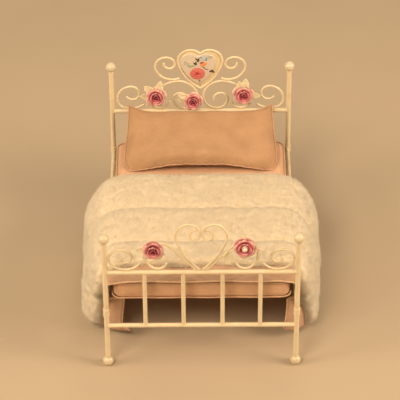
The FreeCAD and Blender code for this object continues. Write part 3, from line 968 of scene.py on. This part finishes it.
# petals, base radius, length, half width, lean at base and tip, height of base, tone at base and tip
BUD_RINGS = (
    (5, 1.7, 5.1, 3.7, 56, 86, 0.5, 0.32, 0.86),
    (5, 1.4, 4.6, 3.3, 38, 68, 1.1, 0.16, 0.78),
    (4, 1.1, 3.9, 2.7, 20, 44, 1.7, 0.06, 0.66),
    (3, 0.7, 3.3, 2.0, 8, 18, 2.1, 0.02, 0.50),
)
# the middle of a rose, where it isn't a tight crimson bud: radius, half height, tone
CORES = {"foot_right": (1.7, 2.2, 0.97)}
PETAL_ROWS, PETAL_COLUMNS = 9, 9


def petal(angle, ring, draw, tones):
    """One cupped petal in the rose's own frame: +Z points out of the bloom."""
    _, base_r, length, half_width, lean_a, lean_b, height, tone_a, tone_b = ring
    length *= draw.uniform(0.9, 1.08)
    phase = draw.uniform(0, 6.28)
    curl = draw.uniform(0.2, 0.55)
    radial, up = base_r, height
    rows = []
    step = length / (PETAL_ROWS - 1)
    for i in range(PETAL_ROWS):
        v = i / (PETAL_ROWS - 1)
        lean = math.radians(lean_a + (lean_b - lean_a) * v + 26 * curl * max(0, v - 0.7) / 0.3)
        if i:
            radial += step * math.sin(lean)
            up += step * math.cos(lean)
        rounding = math.sqrt(1 - 0.88 * (max(0, v - 0.5) / 0.5) ** 2.4)
        width = half_width * min(1, 0.42 + 1.0 * v) * rounding
        bend = max(radial, 1.0) * 1.05 + 0.6
        for j in range(PETAL_COLUMNS):
            u = 2 * j / (PETAL_COLUMNS - 1) - 1
            turn = u * width / bend
            ruffle = 0.22 * v * v * math.sin(3.1 * u + phase)
            tip_dip = -0.5 * max(0, v - 0.85) / 0.15 * u * u
            x = radial - bend * (1 - math.cos(turn)) * (1.0 - 0.35 * v)
            rows.append((x, bend * math.sin(turn), up + ruffle + tip_dip))
            tones.append(tone_a + (tone_b - tone_a) * v ** 1.3)
    spin = Matrix.Rotation(angle, 3, "Z")
    return [spin @ Vector(p) for p in rows]


def make_rose(name, x, z, diameter, end, seed):
    draw = random.Random(seed)
    plane_y = FOOT_Y if end == "foot" else HEAD_Y
    gathered = Parts()
    tones = []
    turn = draw.uniform(0, 6.28)
    for ring in BUD_RINGS:
        for k in range(ring[0]):
            angle = turn + 2 * math.pi * k / ring[0] + draw.uniform(-0.16, 0.16)
            sheet = petal(angle, ring, draw, tones)
            gathered.add(sheet, grid_faces(PETAL_ROWS, PETAL_COLUMNS))
        turn += math.pi / ring[0] + 0.3
    core_r, core_high, core_tone = CORES.get(name, (1.15, 1.7, 0.05))
    core, core_faces = blob((0, 0, 3.4), (core_r, core_r, core_high), 8, 12)
    gathered.add(core, core_faces)
    tones += [core_tone] * len(core)
    scale = diameter / 13.0 * 1.08
    tilt = Matrix.Rotation(math.radians(90 - draw.uniform(4, 14)), 3, "X")
    back_y = plane_y - 0.75
    placed = []
    for p in gathered.points:
        q = tilt @ (Vector(p) * scale)
        placed.append((x + q.x, min(back_y + q.y, back_y), z + q.z))
    piece = make_piece(f"rose_bloom_{name}", placed, gathered.faces, PETAL, "bedstead")
    layer = piece.data.attributes.new("tone", "FLOAT", "POINT")
    layer.data.foreach_set("value", tones)
    thicken(piece, 0.22)
    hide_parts(f"rose_{name}")


def make_leaves(name):
    """Pointed, cupped leaves with a raised midrib behind each rose."""
    x, z, _, end, seed = ROSES[name]
    plane_y = FOOT_Y if end == "foot" else HEAD_Y
    gathered = Parts()
    draw = random.Random(seed + 100)
    rows, columns = 13, 9
    for direction, length, width, bend, stalk in LEAVES[name]:
        lift = draw.uniform(0.4, 1.1)
        step = (length - 1.2) / (rows - 1)
        start = math.radians(direction)
        mid_x, mid_z = x + 1.2 * math.cos(start), z + 1.2 * math.sin(start)
        points = []
        for i in range(rows):
            v = i / (rows - 1)
            angle = math.radians(direction + bend * v)
            if i:
                mid_x += step * math.cos(angle)
                mid_z += step * math.sin(angle)
            blade = min(1, max(0, (v - stalk) / (1 - stalk)))
            half = max(0.35 * (1 - v), width / 2 * math.sin(math.pi * blade ** 0.85) ** 0.7, 0.05)
            for j in range(columns):
                u = 2 * j / (columns - 1) - 1
                cup = 0.7 * abs(u) * math.sin(math.pi * v) + lift * v * v
                vein = 0.18 * math.exp(-(u * 5) ** 2)
                points.append((mid_x - u * half * math.sin(angle), plane_y - 0.95 - cup - vein,
                               mid_z + u * half * math.cos(angle)))
        gathered.add(points, grid_faces(rows, columns))
    piece = gathered.piece(f"rose_leaves_{name}", LEAF, "bedstead", "leaves")
    thicken(piece, 0.32)
    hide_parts(f"leaves_{name}")


# ------------------------------------------------------------------ the painted heart
HEART_START = (0.0, 118.2, 48.0)
HEART_BENDS = ((8.2, -152.0), (32.0, -46.0))


def heart_outline(points_per_bend=28):
    """The heart's centre line, right half from the cleft to the tip and back up the left."""
    x, z, heading = HEART_START
    right = [(x, z)]
    for radius, sweep in HEART_BENDS:
        for _ in range(points_per_bend):
            heading += sweep / points_per_bend / 2
            chord = 2 * radius * math.sin(math.radians(abs(sweep)) / points_per_bend / 2)
            x += chord * math.cos(math.radians(heading))
            z += chord * math.sin(math.radians(heading))
            heading += sweep / points_per_bend / 2
            right.append((x, z))
    right = [(max(px, 0.0), pz) for px, pz in right]
    left = [(-px, pz) for px, pz in reversed(right[1:-1])]
    return right + left


PANEL_SCALE = 0.83
PANEL_SHIFT = -1.3
PANEL_MIDDLE = (0.0, 107.0)


def panel_depth(x, z):
    """How far the glazed panel stands forward at a point: a shallow dome."""
    px, pz = (x - PANEL_SHIFT) / 11.5, (z - PANEL_MIDDLE[1]) / 13.5
    return 0.35 + 0.75 * max(0.0, 1 - px * px - pz * pz)


def filled(outline, scale, shift, depth, rings=10):
    """A filled shape inside an outline, its points pushed forward by depth(x, z, share)."""
    cx, cz = PANEL_MIDDLE
    points, faces = [], []
    count = len(outline)
    for ring in range(rings):
        share = 1 - ring / rings
        for x, z in outline:
            px = cx + shift + (x - cx) * scale * share
            pz = cz + (z - cz) * scale * share
            points.append((px, depth(px, pz, share), pz))
    faces += grid_faces(rings, count, close_columns=True)
    points.append((cx + shift, depth(cx + shift, cz, 0), cz))
    last = (rings - 1) * count
    faces += [(last + k, last + (k + 1) % count, len(points) - 1) for k in range(count)]
    return points, faces


DAB_SIZE = 1.2


def dab(x, z, length, width, direction, lift=0.22, point_start=0.5, point_end=1.0):
    """A brush dab on the panel, raised a little like thick enamel. Each end may be round or pointed."""
    length, width = length * DAB_SIZE, width * DAB_SIZE
    rows, sides = 10, 12
    angle = math.radians(direction)
    peak = (point_start / (point_start + point_end)) ** point_start
    peak *= (point_end / (point_start + point_end)) ** point_end

    def on_panel(along, across, rise):
        px = x + length * (along - 0.5) * math.cos(angle) - across * math.sin(angle)
        pz = z + length * (along - 0.5) * math.sin(angle) + across * math.cos(angle)
        return px, HEAD_Y - 0.27 - panel_depth(px, pz) - rise, pz

    rings = []
    for i in range(1, rows):
        v = i / rows
        share = v ** point_start * (1 - v) ** point_end / peak
        ring = []
        for k in range(sides):
            turn = 2 * math.pi * k / sides
            rise = math.sin(turn) * (lift if math.sin(turn) > 0 else 0.1) * min(1, share * 1.4)
            ring.append(on_panel(v, width / 2 * share * math.cos(turn), rise))
        rings.append(ring)
    return capped(on_panel(0, 0, 0), rings, on_panel(1, 0, 0))


def even_angles(count, start):
    return [2 * math.pi * k / count + start for k in range(count)]


def dabs_round(centre, reach, angles, size, turn, lift, ends=(0.5, 0.6)):
    """Dabs set round a centre, each turned from its own direction."""
    return [
        (centre[0] + reach[0] * math.cos(angle), centre[1] + reach[1] * math.sin(angle), *size,
         math.degrees(angle) + turn, lift, *ends)
        for angle in angles
    ]


# piece: one tone, the other tone, its dabs (x, z, length, width, direction and, if not usual, lift and ends)
PAINTING = {
    "painted_rose_outer": (
        (0.68, 0.22, 0.19), (0.56, 0.10, 0.10),
        dabs_round((-1.7, 103.4), (3.2, 3.1), even_angles(7, 0.3), (4.2, 2.9), 78, 0.25)),
    "painted_rose_middle": (
        (0.56, 0.08, 0.08), (0.70, 0.24, 0.20),
        dabs_round((-1.7, 103.7), (1.9, 1.8), even_angles(5, 0.9), (3.4, 1.8), 80, 0.42)),
    "painted_rose_heart": (
        (0.42, 0.012, 0.012), (0.60, 0.04, 0.03),
        dabs_round((-2.0, 103.9), (0.7, 0.6), even_angles(4, 0.2), (2.2, 1.1), 85, 0.6)),
    "painted_bud": (
        (0.80, 0.34, 0.14), (0.74, 0.22, 0.10),
        [(2.2, 110.4, 3.8, 2.4, 12), (3.4, 111.2, 2.6, 1.6, 40), (1.4, 110.9, 2.4, 1.4, 100)]),
    "painted_bud_shade": ((0.34, 0.03, 0.02), None, [(1.2, 112.0, 2.4, 1.0, 8, 0.4)]),
    "painted_blue_flower": (
        (0.42, 0.48, 0.52), (0.56, 0.58, 0.58),
        dabs_round((2.5, 115.2), (1.1, 1.1), (0.2, 1.5, 2.8, 4.0, 5.3), (2.2, 1.7), 0, 0.25, (0.6, 0.5))),
    "painted_blue_shade": (
        (0.16, 0.26, 0.36), None, [(4.1, 115.0, 2.6, 0.8, 80, 0.45), (0.8, 116.0, 1.6, 0.7, 20, 0.4)]),
    "painted_dark_leaves": (
        (0.018, 0.010, 0.010), (0.06, 0.04, 0.03),
        [(-1.1, 114.0, 2.9, 1.0, 72), (-2.3, 114.6, 2.4, 0.9, 128), (-3.4, 111.2, 2.6, 1.1, 140),
         (-2.7, 112.0, 1.8, 0.8, 82), (7.2, 105.4, 2.6, 1.2, 40), (8.2, 104.9, 2.2, 1.1, 120),
         (-0.4, 97.6, 1.1, 0.8, 90, 0.2, 0.5, 0.5)]),
    "painted_green_leaf": (
        (0.30, 0.36, 0.22), (0.44, 0.48, 0.34),
        [(-5.4, 109.5, 4.6, 1.7, 12), (-6.9, 110.0, 2.6, 1.0, -24)]),
    "painted_twigs": (
        (0.26, 0.27, 0.25), (0.40, 0.40, 0.36),
        [(-9.6, 112.2, 2.0, 0.5, 60), (-8.4, 111.4, 2.2, 0.5, 130), (-9.4, 110.8, 1.8, 0.45, 20),
         (6.0, 116.4, 2.0, 0.5, 30), (7.3, 116.0, 1.8, 0.5, 110), (6.4, 115.0, 1.6, 0.45, -20)]),
    "painted_stem": ((0.22, 0.14, 0.05), None, [(3.3, 107.4, 3.8, 0.7, -36, 0.25, 0.4, 0.4)]),
}
TRAY_SCALE = 0.985


def make_heart():
    """A cream tray inside the heart's wire, a domed white panel on it, and the painted flowers."""
    outline = heart_outline()
    count = len(outline)
    face_y = HEAD_Y - 0.25

    def tray_y(x, z, share):
        return face_y - 0.1 + 0.35 * smooth_step(0.9, 1.0, share)

    def back_y(x, z, share):
        return HEAD_Y + 0.45

    def panel_y(x, z, share):
        return face_y + 0.07 - panel_depth(x, z) * (1 - float(smooth_step(0.93, 1.0, share)))

    tray, tray_faces = filled(outline, TRAY_SCALE, 0.0, tray_y)
    back, back_faces = filled(outline, TRAY_SCALE, 0.0, back_y)
    gathered = Parts()
    gathered.add(tray, tray_faces)
    gathered.add(back, [f[::-1] for f in back_faces])
    total = len(tray)
    gathered.faces += [(k, total + k, total + (k + 1) % count, (k + 1) % count) for k in range(count)]
    tray_cream = glaze("tray_cream", (0.72, 0.60, 0.38), other=(0.66, 0.54, 0.33))
    piece = gathered.piece("heart_tray", tray_cream, "bedstead", "porcelain")
    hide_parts("heart_plaque")

    panel, panel_faces = filled(outline, PANEL_SCALE, PANEL_SHIFT, panel_y, rings=16)
    panel_white = glaze("panel_white", (0.66, 0.57, 0.47), other=(0.60, 0.51, 0.41))
    plaque = make_piece("heart_panel", panel, panel_faces, panel_white, "bedstead")
    thicken(plaque, 0.14)

    for name, (tint, other, dabs) in PAINTING.items():
        picture = Parts()
        for entry in dabs:
            picture.add(*dab(*entry))
        paint = glaze(name, tint, 0.05, other)
        picture.piece(name, paint, "bedstead", "porcelain")


# ------------------------------------------------------------------ studio
FLOOR_HALF = 4000
# lamp: place and disc size in metres, power in watts, colour
LAMPS = {
    "key": ((-0.36, -0.76, 1.00), 0.45, 8.8, (1.0, 0.785, 0.545)),
    "fill_left": ((-1.00, -0.30, 0.66), 0.6, 9.4, (1.0, 0.785, 0.55)),
    "fill_right": ((1.00, -0.30, 0.66), 0.6, 13.2, (1.0, 0.785, 0.55)),
    "rim": ((0.15, 0.75, 1.0), 0.5, 2.0, (1.0, 0.80, 0.58)),
}
LAMP_TARGET = (0, 0, 0.05)
ROOM_DIM, ROOM_BRIGHT = 0.12, 0.34
CAMERA_PLACE = (0.0, -1.0903, 0.9183)
CAMERA_DOWN = 38.06                 # degrees below level
CAMERA_ROLL = -0.35


def make_floor():
    corners = [(x * FLOOR_HALF, y * FLOOR_HALF, 0) for x, y in ((-1, -1), (1, -1), (1, 1), (-1, 1))]
    mesh = mesh_from("studio_floor", corners, [(0, 1, 2, 3)])
    mesh.materials.append(paper("studio_paper"))
    in_scene("studio_floor", mesh)


def make_room():
    """The light from all round: warm, brightest overhead and dim near the floor."""
    world = bpy.data.worlds.new("studio")
    world.use_nodes = True
    nodes, links = world.node_tree.nodes, world.node_tree.links
    background = nodes["Background"]
    background.inputs["Color"].default_value = (1.0, 0.80, 0.56, 1)
    heading = nodes.new("ShaderNodeTexCoord")
    split = nodes.new("ShaderNodeSeparateXYZ")
    brightness = nodes.new("ShaderNodeMapRange")
    brightness.inputs["From Min"].default_value = 0.0
    brightness.inputs["From Max"].default_value = 0.9
    brightness.inputs["To Min"].default_value = ROOM_DIM
    brightness.inputs["To Max"].default_value = ROOM_BRIGHT
    links.new(heading.outputs["Generated"], split.inputs["Vector"])
    links.new(split.outputs["Z"], brightness.inputs["Value"])
    links.new(brightness.outputs["Result"], background.inputs["Strength"])
    bpy.context.scene.world = world


def make_lamps():
    for name, (place, size, power, tint) in LAMPS.items():
        lamp = bpy.data.lights.new(name, "AREA")
        lamp.shape = "DISK"
        lamp.size = size
        lamp.energy = power
        lamp.color = tint
        holder = in_scene(name, lamp)
        holder.location = place
        holder.rotation_mode = "QUATERNION"
        holder.rotation_quaternion = (Vector(LAMP_TARGET) - Vector(place)).to_track_quat("-Z", "Y")
    bpy.context.scene.view_settings.view_transform = "Standard"


def make_camera():
    """A long lens in front of the foot of the bed and above it, looking down."""
    data = bpy.data.cameras.new("camera")
    data.lens = 199.1
    data.sensor_width = 36.0
    data.shift_x = -0.0024
    data.clip_start = 0.05
    data.clip_end = 20.0
    camera = in_scene("camera", data)
    camera.location = CAMERA_PLACE
    camera.rotation_euler = (math.radians(90 - CAMERA_DOWN), 0.0, 0.0)
    camera.rotation_euler.rotate_axis("Z", math.radians(CAMERA_ROLL))
    bpy.context.scene.camera = camera


make_camera()
make_floor()
make_room()
make_lamps()
paint_bedstead()
make_solder()
make_heart()
for rose_name, (rose_x, rose_z, rose_size, rose_end, rose_seed) in ROSES.items():
    make_rose(rose_name, rose_x, rose_z, rose_size, rose_end, rose_seed)
    make_leaves(rose_name)
make_mattress()
make_pillow()
fur_outer = make_fur_pad()
make_fur(fur_outer)
make_lining()
